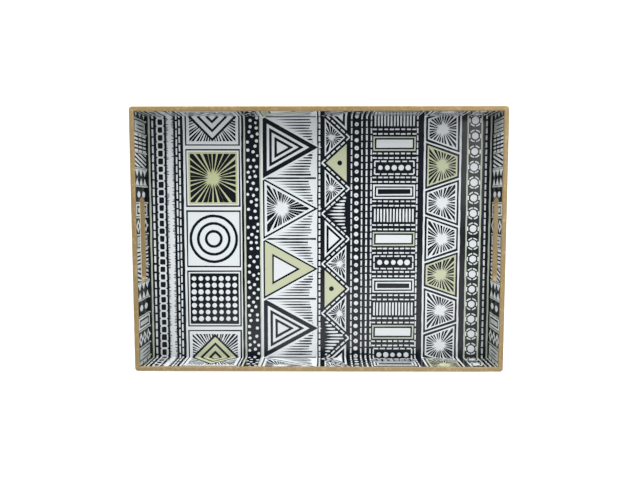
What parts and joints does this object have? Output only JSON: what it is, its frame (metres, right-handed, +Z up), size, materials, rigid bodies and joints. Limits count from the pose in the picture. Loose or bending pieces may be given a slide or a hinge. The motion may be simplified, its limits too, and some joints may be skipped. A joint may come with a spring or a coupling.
{
  "type": "serving tray",
  "caption": "Rectangular serving tray with mitred wooden walls, a hand slot in each end and a printed lining over the floor and inner walls.",
  "frame": {"origin": "on the ground, under the centre of the tray", "axes": "+X along the tray's long side, +Y along its short side, +Z up out of the open top"},
  "size_m": [0.45, 0.32, 0.045],
  "materials": {
    "painted_board": "satin tan-gold paint on fibreboard",
    "printed_lining": "printed sheet under semi-gloss clear lacquer",
    "painted_pins": "steel pins, heads painted over"
  },
  "bodies": {
    "root": {"base_panel": "painted_board", "front_wall": "painted_board", "back_wall": "painted_board", "left_wall": "painted_board", "right_wall": "painted_board", "floor_print": "printed_lining", "front_wall_print": "printed_lining", "back_wall_print": "printed_lining", "left_wall_print": "printed_lining", "right_wall_print": "printed_lining", "corner_brads": "painted_pins", "base_brads": "painted_pins"}
  },
  "joints": []
}
